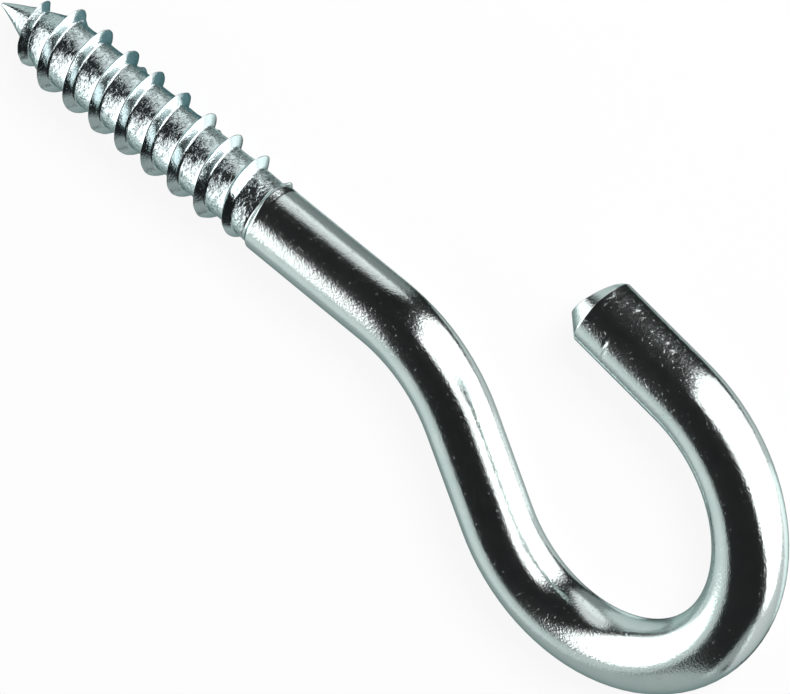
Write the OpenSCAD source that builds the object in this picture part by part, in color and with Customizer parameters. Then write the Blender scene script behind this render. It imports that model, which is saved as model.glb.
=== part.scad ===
// Screw hook: one length of round steel wire, bent into an open bowl at one end and
// rolled into a coarse wood thread with a gimlet point at the other.
//
// Frame: X runs along the axis of the thread, from the point towards the bowl. The hook
// lies flat, with its whole bend in the XY plane and its mouth towards +Y, and Z is up.
// The origin is on that axis, at the shoulder where the thread meets the plain shank.

/* [Wire] */
// Diameter of the plain wire
wire_d = 5.8; // [5.6:0.1:7]

/* [Thread] */
// Length of the thread, from the point to the shoulder
thread_length = 30.1; // [22:0.1:40]
// Distance between neighbouring turns
thread_pitch = 2.92; // [2.4:0.02:3.4]
// Diameter over the crests
crest_d = 7.1; // [6.4:0.02:8]
// Diameter of the core between the crests
root_d = 5.3; // [4.6:0.05:5.5]
// Width of the foot of the ridge, as a share of the pitch
ridge_foot = 0.5; // [0.4:0.05:0.8]
// Angle of the gimlet point, from side to side
point_angle = 43; // [35:1:60]
// Diameter of the blunt tip
tip_d = 0.3; // [0.2:0.05:0.8]
// Height of the ridge where it starts on the point
point_ridge = 0.85; // [0.6:0.05:1.4]
// Angle about the axis at which the crest would reach the shoulder
crest_angle = 23; // [0:1:359]
// Height that the ridge keeps as it runs out at the shoulder
runout_ridge = 0.5; // [0.1:0.05:0.8]
// Length of the bevel at the start of the shank
shoulder_bevel = 0.5; // [0.2:0.05:1]

/* [Hook] */
// Straight shank, from the shoulder to the first bend
shank_length = 12.5; // [6:0.1:30]
// Radius of the first bend, to the middle of the wire
offset_bend_r = 14.3; // [9:0.1:20]
// Angle of the first bend, away from the mouth
offset_angle = 42.9; // [35:0.1:55]
// Radius of the bowl, to the middle of the wire
bowl_r = 12.8; // [11:0.1:18]
// Angle that the bowl turns through
bowl_angle = 215; // [190:1:235]
// Straight end beyond the bowl, up to the bevel of the cut
end_length = 8.75; // [4:0.05:14]

/* [Cut end] */
// Slope of the bevel round the cut, measured from the axis of the wire
cut_bevel = 38; // [25:1:50]
// Distance along the axis from the start of the bevel to the cut
cut_length = 1.04; // [0.9:0.02:1.4]
// Slant of the cut
cut_slant = 16.5; // [0:0.5:18]
// Direction of the slant about the wire: 45 leaves the upper inner side longest
cut_turn = 45; // [0:5:360]

/* [Facets] */
// Steps in each turn of the thread
turn_steps = 36; // [24:4:40]

/* [Hidden] */
$fn = 96;

wire_r = wire_d / 2;
root_r = root_d / 2;
crest_r = crest_d / 2;
tip_r = tip_d / 2;
tip_x = -thread_length;

// The stretch between the bends is as long as brings the bowl's centre onto the thread's axis.
offset_length = (bowl_r * cos(offset_angle) - offset_bend_r * (1 - cos(offset_angle))) / sin(offset_angle);

// A bend is this much thinner in radius than the straights, and runs this far into them.
bend_thinning = 0.03;
bend_overlap = 0.3;

// The thread's surface is a grid of points: columns step round the helix, and rows cross one
// pitch, with the crest in the middle. The row after the last is the first row one turn on.
row_at = [-0.5, -0.3, -0.2, -0.1, 0, 0.1, 0.2, 0.3];
rows = len(row_at);
start_gap = 0.4;
first_crest = tip_x + start_gap + thread_pitch / 2;
first_angle = crest_angle + 360 * first_crest / thread_pitch;
into_shank = 0.4;
last_column = ceil((into_shank + thread_pitch / 2 - first_crest) / thread_pitch * turn_steps);

// The ridge rises over the first stretch, from its start on the point.
ridge_rise = 1.5;
// It sinks to runout_ridge between these two places, and ends at the shoulder.
runout_start = -3.4;
runout_end = -1.9;
ridge_stop = -0.6;
ridge_stop_length = 0.5;

// 0 below t = 0, 1 above t = 1, and a smooth rise between them.
function smooth(t) = let (c = min(max(t, 0), 1)) c * c * (3 - 2 * c);

function core_r(x) = min(root_r, tip_r + (x - tip_x) * tan(point_angle / 2));

function crest_r_at(x) = min(crest_r, core_r(x) + point_ridge * smooth((x - first_crest) / ridge_rise));

// Height of the crest above the core, for the turn whose crest is at x.
function ridge_h(x) =
    let (runout = smooth((x - runout_start) / (runout_end - runout_start)))
    (crest_r_at(x) - core_r(x)) * (1 - runout) + runout_ridge * runout;

// Share of that height at one row, and at a place near the shoulder.
function row_share(row) = smooth((ridge_foot / 2 - abs(row)) / (ridge_foot / 2));
function shoulder_share(x) = 1 - smooth((x - ridge_stop) / ridge_stop_length);

function thread_point(column, row) =
    let (
        a = first_angle + 360 * column / turn_steps,
        crest_x = first_crest + thread_pitch * column / turn_steps,
        x = crest_x + thread_pitch * row,
        r = core_r(x) + ridge_h(crest_x) * row_share(row) * shoulder_share(x)
    )
    [x, r * cos(a), r * sin(a)];

// Index of a grid point. The first row goes on for one turn past the last column.
function grid(column, row) =
    row == rows ? grid(column + turn_steps, 0)
    : column <= last_column ? 2 + column * rows + row
    : 2 + (last_column + 1) * rows + column - last_column - 1;

thread_points = concat(
    [[tip_x, 0, 0], [into_shank + thread_pitch / 2, 0, 0]],
    [for (c = [0:last_column]) for (r = row_at) thread_point(c, r)],
    [for (c = [last_column + 1:last_column + turn_steps]) thread_point(c, row_at[0])]
);

thread_faces = concat(
    // The helical surface, two triangles for each step of each row
    [for (c = [0:last_column - 1]) for (r = [0:rows - 1]) [grid(c, r), grid(c, r + 1), grid(c + 1, r + 1)]],
    [for (c = [0:last_column - 1]) for (r = [0:rows - 1]) [grid(c, r), grid(c + 1, r + 1), grid(c + 1, r)]],
    // The point, a fan from the tip to the first turn
    [for (c = [0:turn_steps - 1]) [0, grid(c, 0), grid(c + 1, 0)]],
    [for (r = [0:rows - 1]) [0, grid(0, r + 1), grid(0, r)]],
    // The end inside the shank, a fan from the axis to the last turn
    [for (c = [last_column:last_column + turn_steps - 1]) [1, grid(c + 1, 0), grid(c, 0)]],
    [for (r = [0:rows - 1]) [1, grid(last_column, r), grid(last_column, r + 1)]]
);

module thread() {
    polyhedron(points = thread_points, faces = thread_faces, convexity = 10);
}

module straight(length) {
    rotate([0, 90, 0]) cylinder(h = length, r = wire_r);
}

// Moves to where a bend ends, with X along the wire. A positive angle turns towards +Y.
module after_bend(radius, angle) {
    centre = [0, sign(angle) * radius, 0];
    translate(centre) rotate([0, 0, angle]) translate(-centre) children();
}

// A bend that starts at the origin and heads along X. Its overlap with the straights at both
// ends keeps the wire one solid.
module bend(radius, angle) {
    overlap_angle = bend_overlap / radius * 180 / PI;
    mirror([0, angle < 0 ? 1 : 0, 0])
        translate([0, radius, 0])
            rotate([0, 0, -90 - overlap_angle])
                rotate_extrude(angle = abs(angle) + 2 * overlap_angle, $fn = 180)
                    translate([radius, 0]) circle(r = wire_r - bend_thinning, $fn = 96);
}

module shank() {
    rotate([0, 90, 0]) cylinder(h = shoulder_bevel, r1 = (root_r + wire_r) / 2, r2 = wire_r);
    translate([shoulder_bevel, 0, 0]) straight(shank_length - shoulder_bevel);
}

// The bevel tapers like a cone, and the slanted cut takes off its tip.
module cut_nose() {
    nose_h = 2 * cut_length;
    block = 2 * wire_d;
    difference() {
        cylinder(h = nose_h, r1 = wire_r, r2 = wire_r - nose_h * tan(cut_bevel));
        translate([0, 0, cut_length])
            rotate([0, 0, cut_turn]) rotate([cut_slant, 0, 0])
                translate([-block / 2, -block / 2, 0]) cube(block);
    }
}

module cut_end() {
    straight(end_length);
    translate([end_length, 0, 0]) rotate([0, 90, 0]) cut_nose();
}

// From the shoulder, the wire is laid down piece by piece, each from the end of the last.
module screw_hook() {
    color([0.8, 0.84, 0.84]) {
        thread();
        shank();
        translate([shank_length, 0, 0]) {
            bend(offset_bend_r, -offset_angle);
            after_bend(offset_bend_r, -offset_angle) {
                straight(offset_length);
                translate([offset_length, 0, 0]) {
                    bend(bowl_r, bowl_angle);
                    after_bend(bowl_r, bowl_angle) cut_end();
                }
            }
        }
    }
}

screw_hook();
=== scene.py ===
"""The looks of the screw hook: one swept mesh of bright zinc-plated wire with a rolled thread."""
import math

import bmesh
import bpy
from mathutils import Matrix, Vector, noise


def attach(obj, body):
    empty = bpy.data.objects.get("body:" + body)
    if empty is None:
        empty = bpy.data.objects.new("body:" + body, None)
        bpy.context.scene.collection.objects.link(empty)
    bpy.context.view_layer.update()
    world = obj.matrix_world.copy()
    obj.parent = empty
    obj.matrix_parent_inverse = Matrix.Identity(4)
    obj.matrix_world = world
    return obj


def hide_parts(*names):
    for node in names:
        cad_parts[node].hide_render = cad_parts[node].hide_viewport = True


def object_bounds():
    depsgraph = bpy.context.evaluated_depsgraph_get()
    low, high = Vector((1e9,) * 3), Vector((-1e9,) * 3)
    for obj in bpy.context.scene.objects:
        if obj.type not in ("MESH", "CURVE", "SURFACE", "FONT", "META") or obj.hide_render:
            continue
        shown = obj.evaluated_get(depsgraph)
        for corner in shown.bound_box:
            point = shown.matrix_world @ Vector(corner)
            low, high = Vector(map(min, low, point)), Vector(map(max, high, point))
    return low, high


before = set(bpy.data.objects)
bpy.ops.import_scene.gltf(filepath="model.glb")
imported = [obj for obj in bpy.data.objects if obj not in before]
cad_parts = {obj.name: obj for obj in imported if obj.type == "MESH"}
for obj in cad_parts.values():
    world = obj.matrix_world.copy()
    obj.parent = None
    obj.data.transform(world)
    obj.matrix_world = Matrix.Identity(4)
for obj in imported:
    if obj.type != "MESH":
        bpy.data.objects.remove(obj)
cad_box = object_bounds()

low, high = (Vector(corner) for corner in cad_box)
middle = (low + high) / 2
scene = bpy.context.scene

MM = 0.001

# ---------------------------------------------------------------- dimensions

# The wire and its thread, in millimetres and degrees, as in the part's construction.
# Angles about the wire start at its left side, which is the mouth's side (+Y) on the thread,
# and go over the top.
WIRE_R = 2.9
ROOT_R = 2.65
CREST_R = 3.55
THREAD_LENGTH = 30.1
PITCH = 2.92
CREST_ANGLE = 23
POINT_ANGLE = 43
TIP_R = 0.15
POINT_RIDGE = 0.85
START_GAP = 0.4
RIDGE_RISE = 1.5
POINT_SLOPE = math.tan(math.radians(POINT_ANGLE / 2))
FIRST_CREST = -THREAD_LENGTH + START_GAP + PITCH / 2

# The bends and the cut.
SHANK_LENGTH = 12.5
OFFSET_BEND_R = 14.3
OFFSET_ANGLE = math.radians(42.9)
BOWL_R = 12.8
BOWL_ANGLE = math.radians(215)
END_LENGTH = 8.75
CUT_BEVEL = math.tan(math.radians(38))
CUT_LENGTH = 1.04
CUT_SLANT = math.tan(math.radians(16.5))
CUT_TURN = math.radians(45)

# The stretch between the bends brings the bowl's centre onto the thread's axis.
OFFSET_RISE = BOWL_R * math.cos(OFFSET_ANGLE) - OFFSET_BEND_R * (1 - math.cos(OFFSET_ANGLE))
OFFSET_LENGTH = OFFSET_RISE / math.sin(OFFSET_ANGLE)

# The wire from the shoulder to the cut, as (length, turn). A positive turn bends it to the left.
SECTIONS = [
    (SHANK_LENGTH, 0),
    (OFFSET_BEND_R * OFFSET_ANGLE, -OFFSET_ANGLE),
    (OFFSET_LENGTH, 0),
    (BOWL_R * BOWL_ANGLE, BOWL_ANGLE),
    (END_LENGTH, 0),
]
WIRE_LENGTH = sum(length for length, turn in SECTIONS)

# The ridge of the thread: towards the tip a steep flank on a wide, low foot, and towards the
# shank one straight face with a small fillet. The shares are of the ridge's height.
FLANK_WIDTH = 0.40
FOOT_WIDTH = 1.2
FOOT_SHARE = 0.1
FACE_WIDTH = 0.51
FILLET_WIDTH = 0.07
FILLET_SHARE = 0.03
FOOT_CURVE = 1.3

# Where the last turn sinks to a low ridge, and where that ends at the shoulder.
RUNOUT_START = -3.4
RUNOUT_LENGTH = 1.5
RUNOUT_RIDGE = 0.55
RIDGE_END = -0.5
RIDGE_END_LENGTH = 0.22

# The shoulder. On the mouth's side it starts early, is steep and carries a raised collar.
# Elsewhere it is a bevel with a fine groove just before it, and its length changes round the wire.
SHOULDER_START = -0.6
SHOULDER_END = 0.6
COLLAR_ANGLE = 5
COLLAR_SPREAD = 0.75
COLLAR_HEIGHT = 0.16
COLLAR_END = 0.5
COLLAR_LENGTH = 0.65
MOUTH_BEVEL_START = -0.5
MOUTH_BEVEL_LENGTH = 0.3
BEVEL_START = -0.22
SHORT_BEVEL = 0.25
LONG_BEVEL = 0.62
LONG_BEVEL_ANGLE = 350
GROOVE_X = -0.34
GROOVE_DEPTH = 0.05
GROOVE_HALF_WIDTH = 0.09

# The waviness of the ridge, as (waves per millimetre, share of its height), and the relief of
# the root between the turns, as (lumps per millimetre, share of its depth).
RIDGE_WAVES = [(0.45, 0.10), (1.3, 0.05)]
ROOT_LUMPS = [(2.2, 0.6), (4.6, 0.4)]
RELIEF_DEPTH = 0.022

# The rough root lies where the ridge has sunk below this share of its height. It fades in
# just behind the tip and out at the shoulder.
ROUGH_SHARE = 0.09
ROUGH_BLEND = 0.06
ROUGH_START = 1.0
ROUGH_RISE = 2
ROUGH_END = -0.5
ROUGH_FADE = 0.2

# The thread stands a little to one side at the shoulder and leans back over its length. Its
# tip is bent over.
LEAN_OFFSET = 0.2
LEAN_SLOPE = 0.0095
LEAN_BLEND = 2.5
TIP_BEND_START = -27
TIP_BEND_LENGTH = 3.1
TIP_BEND = 0.3

# Burrs that the rolling left on the thread: (x, angle, height, half length, half width).
BURRS = [
    (-23.4, 318, 0.30, 0.32, 0.7),
    (-20.7, 319, 0.24, 0.14, 0.4),
    (-16.6, 318, 0.28, 0.28, 0.6),
    (-11.9, 320, 0.16, 0.14, 0.5),
    (-8.1, 317, 0.12, 0.16, 0.3),
    (-4.3, 40, 0.08, 0.20, 0.4),
]

# Dents and scratches on the free end: (distance from the shoulder along the wire, angle, depth,
# half length, half width).
DENTS = [
    (87.6, 165, 0.020, 0.22, 0.22),
    (87.5, 142, 0.020, 0.10, 0.42),
    (86.6, 184, 0.018, 0.12, 0.12),
    (86.5, 162, 0.014, 0.45, 0.14),
    (85.5, 176, 0.026, 0.26, 0.26),
    (84.8, 173, 0.018, 0.20, 0.20),
    (83.5, 190, 0.016, 0.10, 0.10),
    (82.1, 170, 0.024, 0.12, 0.12),
    (81.3, 168, 0.022, 0.20, 0.20),
    (80.8, 155, 0.012, 0.20, 0.20),
    (87.5, 120, 0.022, 0.07, 0.30),
    (85.6, 100, 0.030, 0.09, 0.55),
    (85.3, 84, 0.030, 0.09, 0.55),
    (85.2, 68, 0.025, 0.09, 0.55),
]
# A burr or dent is left out beyond this many half lengths, where nothing is left of it.
LUMP_REACH = 3

# The mesh: columns round the wire, rows across one pitch and how far they are drawn towards the
# crest, and the spacing of the rings along the wire and in its last stretch before the cut.
COLUMNS = 144
ANGLES = [2 * math.pi * k / COLUMNS for k in range(COLUMNS)]
THREAD_ROWS = 40
ROW_CROWDING = 0.08
THREAD_STEP = PITCH / THREAD_ROWS
GRID_START = -THREAD_LENGTH
GRID_END = -0.2
WIRE_STEP = 0.9
END_STEP = 0.11
END_ZONE = 8.6
# Rings along the cut's bevel and across its face, as shares of their whole length and radius.
BEVEL_RINGS = (0.04, 0.1, 0.2, 0.35, 0.5, 0.65, 0.8, 0.92, 0.97, 1.0)
FACE_RINGS = (0.97, 0.9, 0.75, 0.55, 0.3, 0.1)
# How rough the sheared face is, where 1 is the thread's root.
FACE_ROUGH = 0.3


def smooth(t):
    t = min(max(t, 0.0), 1.0)
    return t * t * (3 - 2 * t)


def mix(a, b, t):
    return a + (b - a) * t


def lump(along, around, half_length, half_width):
    """A soft mound with a height of 1, at these distances from its middle."""
    return math.exp(-(along / half_length) ** 2 - (around / half_width) ** 2)


def turned(angle, centre):
    """Signed angle from a centre given in degrees, in radians."""
    return (angle - math.radians(centre) + math.pi) % (2 * math.pi) - math.pi


def layered_noise(place, layers):
    return sum(share * noise.noise(place * scale) for scale, share in layers)


# ---------------------------------------------------------------- thread

def core_radius(x):
    return min(ROOT_R, TIP_R + (x + THREAD_LENGTH) * POINT_SLOPE)


def ridge_height(crest_x):
    if crest_x < FIRST_CREST:
        return 0.0
    core = core_radius(crest_x)
    crest = min(CREST_R, core + POINT_RIDGE * smooth((crest_x - FIRST_CREST) / RIDGE_RISE))
    runout = smooth((crest_x - RUNOUT_START) / RUNOUT_LENGTH)
    end = 1 - smooth((crest_x - RIDGE_END) / RIDGE_END_LENGTH)
    return mix(crest - core, RUNOUT_RIDGE, runout) * end


def ridge_share(across):
    """Height of the ridge across one pitch, as a share of its height at the crest."""
    out = abs(across) * PITCH
    if across < 0:
        slope, low_width, low_share = FLANK_WIDTH, FOOT_WIDTH, FOOT_SHARE
    else:
        slope, low_width, low_share = FACE_WIDTH, FACE_WIDTH + FILLET_WIDTH, FILLET_SHARE
    if out < slope:
        return mix(1, low_share, out / slope)
    return low_share * max(1 - (out - slope) / (low_width - slope), 0.0) ** FOOT_CURVE


def shoulder_radius(x, angle):
    """Radius of the wire from the thread's root to the plain shank."""
    mouth_side = lump(0, turned(angle, COLLAR_ANGLE), 1, COLLAR_SPREAD)
    start = mix(BEVEL_START, MOUTH_BEVEL_START, mouth_side)
    length = mix(SHORT_BEVEL, LONG_BEVEL, 0.5 + 0.5 * math.cos(turned(angle, LONG_BEVEL_ANGLE)))
    rise = smooth((x - start) / mix(length, MOUTH_BEVEL_LENGTH, mouth_side))
    groove = GROOVE_DEPTH * (1 - mouth_side) * lump(x - GROOVE_X, 0, GROOVE_HALF_WIDTH, 1)
    collar = COLLAR_HEIGHT * mouth_side * rise * min(max((COLLAR_END - x) / COLLAR_LENGTH, 0.0), 1.0)
    return mix(ROOT_R, WIRE_R, rise) - groove + collar


def root_relief(x, angle):
    """The lumpy skin that the rolling dies leave between the turns."""
    place = Vector((x, ROOT_R * math.cos(angle), ROOT_R * math.sin(angle)))
    return RELIEF_DEPTH * layered_noise(place, ROOT_LUMPS)


def root_roughness(x, share):
    """How much a place belongs to the rough root, from 0 to 1, by the ridge's share there."""
    between_turns = smooth((ROUGH_SHARE - share) / ROUGH_BLEND)
    behind_tip = smooth((x + THREAD_LENGTH - ROUGH_START) / ROUGH_RISE)
    before_shoulder = 1 - smooth((x - ROUGH_END) / ROUGH_FADE)
    return between_turns * behind_tip * before_shoulder


def thread_surface(x, angle, across):
    """Radius of the thread's surface at one place, and how much of it is the rough root."""
    place = Vector((x, CREST_R * math.cos(angle), CREST_R * math.sin(angle)))
    share = ridge_share(across)
    core = shoulder_radius(x, angle) if x > SHOULDER_START else core_radius(x)
    ridge = ridge_height(x - across * PITCH) * share * (1 + layered_noise(place, RIDGE_WAVES))
    rough = root_roughness(x, share)
    radius = core + ridge + rough * root_relief(x, angle)
    for burr_x, burr_angle, height, half_length, half_width in BURRS:
        along = x - burr_x
        if abs(along) < LUMP_REACH * half_length:
            around = turned(angle, burr_angle) * ROOT_R
            radius += height * lump(along, around, half_length, half_width)
    return radius, rough


def thread_sway(x):
    """How far the thread's centre is off the axis, towards the mouth."""
    lean = smooth(-x / LEAN_BLEND) * (LEAN_OFFSET + LEAN_SLOPE * x)
    tip = max((TIP_BEND_START - x) / TIP_BEND_LENGTH, 0.0)
    return lean - TIP_BEND * tip * tip


# ---------------------------------------------------------------- wire

def dented_radius(s, angle):
    radius = WIRE_R
    for dent_s, dent_angle, depth, half_length, half_width in DENTS:
        along = s - dent_s
        if abs(along) < LUMP_REACH * half_length:
            around = turned(angle, dent_angle) * WIRE_R
            radius -= depth * lump(along, around, half_length, half_width)
    return radius


def wire_place(s):
    """Centre, heading and distance from the shoulder of one ring, along straights and arcs."""
    x, y, heading, left = 0.0, 0.0, 0.0, s
    for length, turn in SECTIONS:
        part = min(left, length)
        left -= part
        if turn:
            radius = length / turn
            angle = part / radius
            x += radius * (math.sin(heading + angle) - math.sin(heading))
            y += radius * (math.cos(heading) - math.cos(heading + angle))
            heading += angle
        else:
            x += part * math.cos(heading)
            y += part * math.sin(heading)
    return x, y, heading, s


def wire_stations():
    """Distances of the rings from the shoulder, from the thread's last ring to the bevel."""
    stations = [GRID_END]
    while stations[-1] < WIRE_LENGTH:
        s = stations[-1]
        if s < SHOULDER_END:
            step = THREAD_STEP
        elif s < WIRE_LENGTH - END_ZONE:
            step = WIRE_STEP
        else:
            step = END_STEP
        stations.append(min(s + step, WIRE_LENGTH))
    return stations


def cut_reach(angle):
    """Length of the bevel along the wire at one angle: where the cone meets the slanted cut."""
    lean = CUT_SLANT * math.cos(angle - CUT_TURN)
    return (CUT_LENGTH + WIRE_R * lean) / (1 + CUT_BEVEL * lean)


# ---------------------------------------------------------------- mesh

def add_point(bm, place, angle, radius, rough=0.0, ahead=0.0):
    """One vertex, at an angle round the wire, a radius from its centre and a distance ahead.
    It keeps its place on the wire as if that were straight, in millimetres, for the material."""
    x, y, heading, s = place
    left = Vector((-math.sin(heading), math.cos(heading), 0))
    forward = Vector((math.cos(heading), math.sin(heading), 0))
    across, height = radius * math.cos(angle), radius * math.sin(angle)
    point = bm.verts.new((Vector((x, y, height)) + left * across + forward * ahead) * MM)
    point[bm.verts.layers.float["rough"]] = rough
    point[bm.verts.layers.float_vector["straightened"]] = Vector((s + ahead, across, height))
    return point


def add_thread_point(bm, x, k):
    """One vertex of the thread, in one column. The crest passes where the turns are whole."""
    turns = x / PITCH - k / COLUMNS + CREST_ANGLE / 360
    across = turns - math.floor(turns + 0.5)
    radius, rough = thread_surface(x, ANGLES[k], across)
    return add_point(bm, (x, thread_sway(x), 0.0, x), ANGLES[k], radius, rough)


def add_thread(bm):
    """The thread's grid follows the helix. Where a row would pass either end, it stops on that
    end's ring."""
    first_ring = [add_thread_point(bm, GRID_START, k) for k in range(COLUMNS)]
    last_ring = [add_thread_point(bm, GRID_END, k) for k in range(COLUMNS)]
    grid = {}

    def grid_point(row, k):
        if k == COLUMNS:
            row, k = row + THREAD_ROWS, 0
        turn = row / THREAD_ROWS
        turn -= ROW_CROWDING * math.sin(2 * math.pi * turn)
        x = (k / COLUMNS - CREST_ANGLE / 360 + turn) * PITCH
        if x < GRID_START + THREAD_STEP / 2:
            return first_ring[k]
        if x > GRID_END - THREAD_STEP / 2:
            return last_ring[k]
        if (row, k) not in grid:
            grid[row, k] = add_thread_point(bm, x, k)
        return grid[row, k]

    # The rows start and end about a turn beyond the rings, where they make no faces.
    first_row = math.floor(GRID_START / THREAD_STEP) - THREAD_ROWS
    for row in range(first_row, THREAD_ROWS):
        for k in range(COLUMNS):
            near = [grid_point(row, k), grid_point(row, k + 1)]
            far = [grid_point(row + 1, k + 1), grid_point(row + 1, k)]
            corners = list(dict.fromkeys(near + far))
            if len(corners) > 2:
                bm.faces.new(corners)
    return first_ring, last_ring


def add_wire_rings(bm):
    rings = []
    for s in wire_stations()[1:]:
        place = wire_place(s)
        radius_at = shoulder_radius if s < SHOULDER_END else dented_radius
        rings.append([add_point(bm, place, angle, radius_at(s, angle)) for angle in ANGLES])
    return rings


def add_cut_rings(bm):
    """The bevel is part of a cone. The face inside it lies in the slanted plane of the cut."""
    end = wire_place(WIRE_LENGTH)
    rings = []
    for share in BEVEL_RINGS:
        ring = []
        for angle in ANGLES:
            radius = WIRE_R - CUT_BEVEL * cut_reach(angle) * share
            ring.append(add_point(bm, end, angle, radius, ahead=cut_reach(angle) * share))
        rings.append(ring)
    for share in FACE_RINGS:
        ring = []
        for angle in ANGLES:
            radius = (WIRE_R - CUT_BEVEL * cut_reach(angle)) * share
            ahead = CUT_LENGTH + radius * CUT_SLANT * math.cos(angle - CUT_TURN)
            ring.append(add_point(bm, end, angle, radius, FACE_ROUGH, ahead))
        rings.append(ring)
    return rings


def join_rings(bm, rings):
    for a, b in zip(rings, rings[1:]):
        for k in range(COLUMNS):
            j = (k + 1) % COLUMNS
            bm.faces.new((a[k], a[j], b[j], b[k]))


def add_cap(bm, ring):
    """A fan that closes one ring. It faces the side from which the ring runs anticlockwise."""
    straightened = bm.verts.layers.float_vector["straightened"]
    tip = bm.verts.new(sum((point.co for point in ring), Vector()) / COLUMNS)
    tip[straightened] = sum((point[straightened] for point in ring), Vector()) / COLUMNS
    for k in range(COLUMNS):
        bm.faces.new((ring[k], ring[(k + 1) % COLUMNS], tip))


def hook_mesh():
    """The whole wire as one closed mesh, from the tip to the cut."""
    bm = bmesh.new()
    bm.verts.layers.float.new("rough")
    bm.verts.layers.float_vector.new("straightened")
    first_ring, last_ring = add_thread(bm)
    rings = [last_ring, *add_wire_rings(bm), *add_cut_rings(bm)]
    join_rings(bm, rings)
    add_cap(bm, first_ring[::-1])
    add_cap(bm, rings[-1])
    bm.normal_update()
    mesh = bpy.data.meshes.new("hook")
    bm.to_mesh(mesh)
    bm.free()
    for polygon in mesh.polygons:
        polygon.use_smooth = True
    return mesh


# ---------------------------------------------------------------- materials

def add_node(tree, kind, inputs, **settings):
    """A new node. An input that is a socket is linked, and any other is set on its own socket."""
    node = tree.nodes.new(kind)
    for name, value in settings.items():
        setattr(node, name, value)
    for key, value in inputs.items():
        if isinstance(value, bpy.types.NodeSocket):
            tree.links.new(value, node.inputs[key])
        else:
            node.inputs[key].default_value = value
    return node


def new_material(name):
    material = bpy.data.materials.new(name)
    material.use_nodes = True
    material.node_tree.nodes.clear()
    return material


def set_surface(tree, socket):
    add_node(tree, "ShaderNodeOutputMaterial", {"Surface": socket})


def attribute(tree, name, output):
    return add_node(tree, "ShaderNodeAttribute", {}, attribute_name=name).outputs[output]


def stretched(tree, place, scale):
    """Places on the straightened wire, scaled along it and across it."""
    return add_node(tree, "ShaderNodeMapping", {"Vector": place, "Scale": scale}).outputs["Vector"]


def noise_height(tree, place, scale, detail):
    inputs = {"Vector": place, "Scale": scale, "Detail": detail}
    return add_node(tree, "ShaderNodeTexNoise", inputs).outputs["Fac"]


def remap(tree, value, start=0.0, end=1.0, to_start=0.0, to_end=1.0):
    """A value brought from one range to another, and kept inside that."""
    inputs = {"Value": value, "From Min": start, "From Max": end, "To Min": to_start, "To Max": to_end}
    return add_node(tree, "ShaderNodeMapRange", inputs).outputs["Result"]


def multiplied(tree, share, colour, factor):
    """A colour times another, as far as the share says."""
    inputs = {"Factor": share, "A": colour, "B": factor}
    node = add_node(tree, "ShaderNodeMix", inputs, data_type="RGBA", blend_type="MULTIPLY")
    return node.outputs["Result"]


def arithmetic(tree, operation, *values):
    node = add_node(tree, "ShaderNodeMath", dict(enumerate(values)), operation=operation)
    return node.outputs["Value"]


def bump(tree, height, depth, **inputs):
    """The normal after one more layer of relief, with its depth in millimetres."""
    inputs = {"Height": height, "Distance": depth * MM, **inputs}
    return add_node(tree, "ShaderNodeBump", inputs).outputs["Normal"]


# The plating's two tones, its tint on the thread, and its tint where it is seen at a slant.
DULL_ZINC = (0.78, 0.88, 0.86, 1)
CLEAR_ZINC = (0.85, 0.93, 0.91, 1)
THREAD_TINT = (0.95, 0.99, 1.02, 1)
SLANT_TINT = (0.46, 0.57, 0.56, 1)
# How much denser a noise is along the wire and across it. The grain is drawn out along the wire,
# and the flecks and lumps in the thread's root are drawn out round it.
GRAIN_STRETCH = (0.8, 1.2, 1.2)
ROOT_STRETCH = (1.4, 0.8, 0.8)


def zinc_colour(tree, along, rough, cloud):
    """Clouds of two tones, a bluer thread, and dark flecks in its root."""
    tone = add_node(tree, "ShaderNodeValToRGB", {"Fac": cloud})
    dull, clear = tone.color_ramp.elements
    dull.position, dull.color = 0.3, DULL_ZINC
    clear.position, clear.color = 0.7, CLEAR_ZINC
    x = add_node(tree, "ShaderNodeSeparateXYZ", {"Vector": along}).outputs["X"]
    threaded = remap(tree, x, start=0.0, end=-1.5)
    bluer = multiplied(tree, threaded, tone.outputs["Color"], THREAD_TINT)
    spots = noise_height(tree, stretched(tree, along, ROOT_STRETCH), scale=4.2, detail=3)
    flecks = remap(tree, spots, start=0.36, end=0.48, to_start=0.62)
    return multiplied(tree, rough, bluer, flecks)


def zinc_roughness(tree, rough, cloud):
    plain = remap(tree, cloud, to_start=0.11, to_end=0.15)
    added_in_root = 0.04
    return arithmetic(tree, "MULTIPLY_ADD", rough, added_in_root, plain)


def zinc_relief(tree, along, rough):
    """A fine grain all over, sparse pimples that show as specks, and lumps in the thread's root."""
    grain_height = noise_height(tree, stretched(tree, along, GRAIN_STRETCH), scale=6.0, detail=2)
    grain = bump(tree, grain_height, 0.013)
    pimples = remap(tree, noise_height(tree, along, scale=4.4, detail=2), start=0.66, end=0.78)
    specks = bump(tree, pimples, 0.009, Normal=grain)
    root_height = noise_height(tree, stretched(tree, along, ROOT_STRETCH), scale=3.6, detail=2)
    lumps = remap(tree, root_height, start=0.5, end=0.75)
    return bump(tree, lumps, 0.026, Strength=rough, Normal=specks)


def zinc():
    """Bright zinc plating. Its noises lie on the straightened wire, so they follow the bends."""
    material = new_material("bright_zinc")
    tree = material.node_tree
    along = attribute(tree, "straightened", "Vector")
    rough = attribute(tree, "rough", "Fac")
    cloud = noise_height(tree, along, scale=0.35, detail=3)
    shader = add_node(tree, "ShaderNodeBsdfPrincipled", {
        "Metallic": 1.0,
        "Specular Tint": SLANT_TINT,
        "Base Color": zinc_colour(tree, along, rough, cloud),
        "Roughness": zinc_roughness(tree, rough, cloud),
        "Normal": zinc_relief(tree, along, rough),
    })
    set_surface(tree, shader.outputs["BSDF"])
    return material


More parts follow.
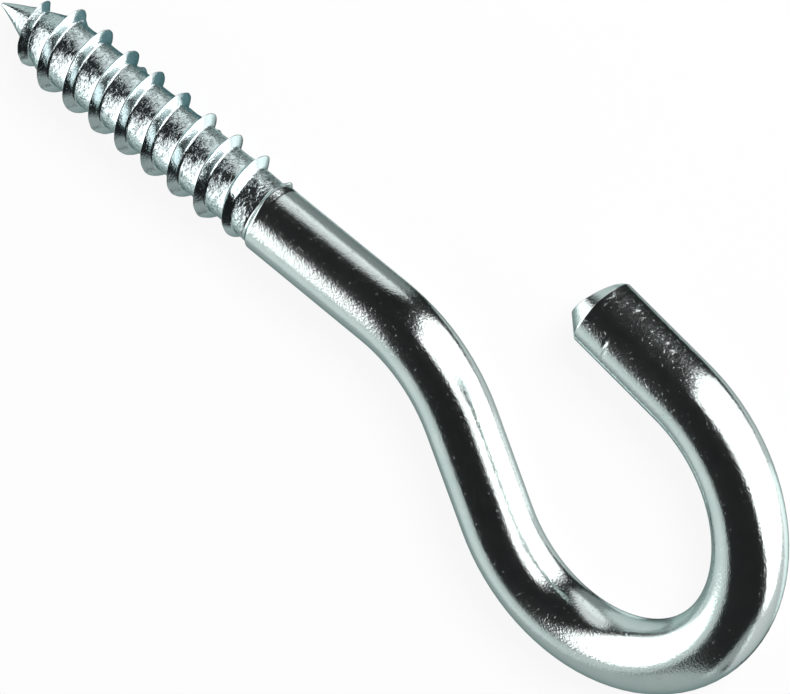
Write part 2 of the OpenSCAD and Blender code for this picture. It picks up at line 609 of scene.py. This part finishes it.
def floor_paper():
    """Paper that glows nearly white to the camera, and is lit a little so that a shadow shows."""
    material = new_material("floor_paper")
    tree = material.node_tree
    lit = add_node(tree, "ShaderNodeBsdfDiffuse", {"Color": (0.72, 0.72, 0.72, 1)})
    glow = add_node(tree, "ShaderNodeEmission", {"Color": (1, 1, 1, 1)})
    glow_seen, glow_mirrored = 0.9, 0.1
    ray = add_node(tree, "ShaderNodeLightPath", {}).outputs
    seen = arithmetic(tree, "MULTIPLY", ray["Is Camera Ray"], glow_seen)
    # This half does nothing while the floor is hidden from reflections, as make_floor says.
    mirrored = arithmetic(tree, "MAXIMUM", ray["Is Glossy Ray"], ray["Is Transmission Ray"])
    share = arithmetic(tree, "MULTIPLY_ADD", mirrored, glow_mirrored, seen)
    shaders = {"Fac": share, 1: lit.outputs["BSDF"], 2: glow.outputs["Emission"]}
    set_surface(tree, add_node(tree, "ShaderNodeMixShader", shaders).outputs["Shader"])
    return material


def cloth(name, colour):
    material = new_material(name)
    tree = material.node_tree
    matt = add_node(tree, "ShaderNodeBsdfDiffuse", {"Color": (*colour, 1)})
    set_surface(tree, matt.outputs["BSDF"])
    return material


# ---------------------------------------------------------------- stage

# The ground and what stands round the hook, in metres. The black dome's middle is on the floor.
FLOOR_RADIUS = 2.0
DOME_RADIUS = 1.9
LAMP_DISTANCE = 0.8
BLACK = (0.04, 0.042, 0.042)

# A dark teal card under the thread, whose first crests mirror it. It is painted shade: it stands for the
# shaded floor beneath the thread. Its corners in millimetres, its height over the floor and its colour.
CARD_OUTLINE = [(-27.3, -1), (-10.6, -1), (-10.6, 3), (-27.3, 3)]
CARD_LIFT = 0.2 * MM
SHADE_TEAL = (0.11, 0.19, 0.20)

# Lamps brighter than BRIGHT are slightly warm, and those dimmer than DIM slightly teal.
BRIGHT = 1
DIM = 0.5
WARM = (1.0, 0.96, 0.975)
NEUTRAL = (1.0, 1.0, 1.0)
COOL = (0.92, 1.0, 0.985)

# The panels that the metal mirrors: (name, shape, azimuth, elevation, half width, half height,
# radiance, roll, drop). All but the radiance are angles in degrees, as the hook sees them.
PANELS = [
    # From the tip's side, and on towards the back, above
    ("key", "ELLIPSE", 189.5, 33.5, 35, 33.5, 1.5, 12, 0),
    ("key_edge", "ELLIPSE", 232, 32, 16, 28, 0.28, 0, 0),
    ("key_rim", "ELLIPSE", 243, 48, 11, 5, 0.3, 0, 0),
    # The same, far below
    ("glint", "ELLIPSE", 212, -57, 12, 6, 0.9, 0, 0),
    # From between the bowl and the mouth, level and below
    ("side_top", "RECTANGLE", 27.3, 6.3, 60, 19.2, 1.4, 25.5, 6.7),
    ("side_gap", "ELLIPSE", 76, -4, 14, 17, 1.4, 0, 0),
    ("side_low", "RECTANGLE", 37.5, -30, 47, 38, 1.4, -28, 0),
    # From between the mouth and the tip, below
    ("patch", "ELLIPSE", 129, -14, 15, 31, 0.68, -25, 0),
    ("teal", "ELLIPSE", 170, -38, 45, 32, 0.24, 0, 0),
    ("tip_low", "ELLIPSE", 174, -33, 24, 22, 0.35, 0, 0),
    # From the back, level and below
    ("fill", "ELLIPSE", 247, -3, 48, 45, 0.4, 0, 0),
    ("low", "ELLIPSE", 328, -41, 35, 38, 0.6, 0, 0),
    ("foot", "ELLIPSE", 309, -1, 17, 11, 0.32, 0, 0),
    ("nadir", "ELLIPSE", 290, -73, 24, 24, 0.65, 0, 0),
]

# The camera, in degrees, metres and millimetres of lens. It turns about its line of sight by
# the roll, and looks at the target.
CAMERA_AZIMUTH = 58.873
CAMERA_ELEVATION = 43.0525
CAMERA_ROLL = -118.2437
CAMERA_DISTANCE = 0.46996
CAMERA_TARGET = Vector((0.0144145, -0.0021715, 0))
CAMERA_LENS = 276.593
CAMERA_SENSOR = 36
CAMERA_CLIP = (0.01, 20)


def add_stage(name, mesh, material, z=0.0):
    thing = bpy.data.objects.new(name, mesh)
    thing.location = (0, 0, z)
    mesh.materials.append(material)
    scene.collection.objects.link(thing)
    return thing


def primitive(name, create, **shape):
    mesh = bpy.data.meshes.new(name)
    bm = bmesh.new()
    create(bm, **shape)
    bm.to_mesh(mesh)
    bm.free()
    return mesh


def make_floor():
    """The metal in the photo mirrors panels and gaps below the horizon too. So the floor is
    hidden from reflections, and the lamps below it shine through. It still shows the shadow."""
    disc = primitive("floor", bmesh.ops.create_circle, cap_ends=True, segments=96, radius=FLOOR_RADIUS)
    floor = add_stage("floor", disc, floor_paper(), low.z)
    floor.visible_glossy = False
    floor.visible_shadow = False


def make_dome():
    """Black cloth all round the panels, so that bright metal has something dark to mirror."""
    ball = primitive("flags", bmesh.ops.create_uvsphere, u_segments=64, v_segments=32, radius=DOME_RADIUS)
    dome = add_stage("flags", ball, cloth("black_cloth", BLACK), low.z)
    dome.visible_camera = False


def make_shade_card():
    """The teal card lies just over the floor, and shows only in the metal's reflections. It is painted
    shade, standing for the shaded floor under the thread.
    """
    mesh = bpy.data.meshes.new("painted_shade_card")
    corners = [(x * MM, y * MM, low.z + CARD_LIFT) for x, y in CARD_OUTLINE]
    mesh.from_pydata(corners, [], [range(len(corners))])
    # The card's dark teal is painted shade, seen in the crests' reflections.
    card = add_stage("painted_shade_card", mesh, cloth("painted_shade_card", SHADE_TEAL))
    card.visible_camera = False
    card.visible_diffuse = False
    card.visible_shadow = False


def direction(azimuth, elevation):
    a, e = math.radians(azimuth), math.radians(elevation)
    return Vector((math.cos(e) * math.cos(a), math.cos(e) * math.sin(a), math.sin(e)))


def lamp_colour(radiance):
    if radiance > BRIGHT:
        return WARM
    return NEUTRAL if radiance > DIM else COOL


def softbox(name, shape, azimuth, elevation, half_width, half_height, radiance, roll=0, drop=0):
    """A lamp that faces the hook from one direction, turned by the roll and lowered by the drop."""
    light = bpy.data.lights.new(name, "AREA")
    light.shape = shape
    light.size = 2 * LAMP_DISTANCE * math.tan(math.radians(half_width))
    light.size_y = 2 * LAMP_DISTANCE * math.tan(math.radians(half_height))
    area = light.size * light.size_y * (math.pi / 4 if shape == "ELLIPSE" else 1)
    light.energy = radiance * area * math.pi
    light.color = lamp_colour(radiance)
    away = direction(azimuth, elevation)
    facing = away.to_track_quat("Z", "Y").to_matrix() @ Matrix.Rotation(math.radians(roll), 3, "Z")
    lamp = bpy.data.objects.new(name, light)
    lamp.location = middle + away * LAMP_DISTANCE
    lamp.location -= facing.col[1] * LAMP_DISTANCE * math.tan(math.radians(drop))
    lamp.rotation_euler = facing.to_euler()
    lamp.visible_camera = False
    scene.collection.objects.link(lamp)
    return lamp


def make_lamps():
    for panel in PANELS:
        softbox(*panel)
    # The window casts the shadow on the floor. The metal doesn't mirror it.
    window = softbox("window", "ELLIPSE", 62, 30, half_width=9, half_height=9, radiance=70)
    window.visible_glossy = False


def make_world():
    world = bpy.data.worlds.new("studio")
    world.use_nodes = True
    back = world.node_tree.nodes["Background"]
    back.inputs["Color"].default_value = (1, 1, 1, 1)
    back.inputs["Strength"].default_value = 1.0
    scene.world = world


def make_camera():
    back = direction(CAMERA_AZIMUTH, CAMERA_ELEVATION)
    level_right = Vector((0, 0, 1)).cross(back).normalized()
    level_up = back.cross(level_right)
    roll = math.radians(CAMERA_ROLL)
    right = level_right * math.cos(roll) + level_up * math.sin(roll)
    up = level_up * math.cos(roll) - level_right * math.sin(roll)
    pose = Matrix((right, up, back)).transposed().to_4x4()
    pose.translation = CAMERA_TARGET + back * CAMERA_DISTANCE
    data = bpy.data.cameras.new("camera")
    data.sensor_width = CAMERA_SENSOR
    data.sensor_fit = "HORIZONTAL"
    data.lens = CAMERA_LENS
    data.clip_start, data.clip_end = CAMERA_CLIP
    camera = bpy.data.objects.new("camera", data)
    camera.matrix_world = pose
    scene.collection.objects.link(camera)
    scene.camera = camera


# ---------------------------------------------------------------- build

hook = bpy.data.objects.new("hook_wire", hook_mesh())
hook.data.materials.append(zinc())
scene.collection.objects.link(hook)
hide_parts("screw_hook")
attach(hook, "root")

make_floor()
make_dome()
make_world()
make_shade_card()
make_lamps()
make_camera()

scene.view_settings.view_transform = "Standard"
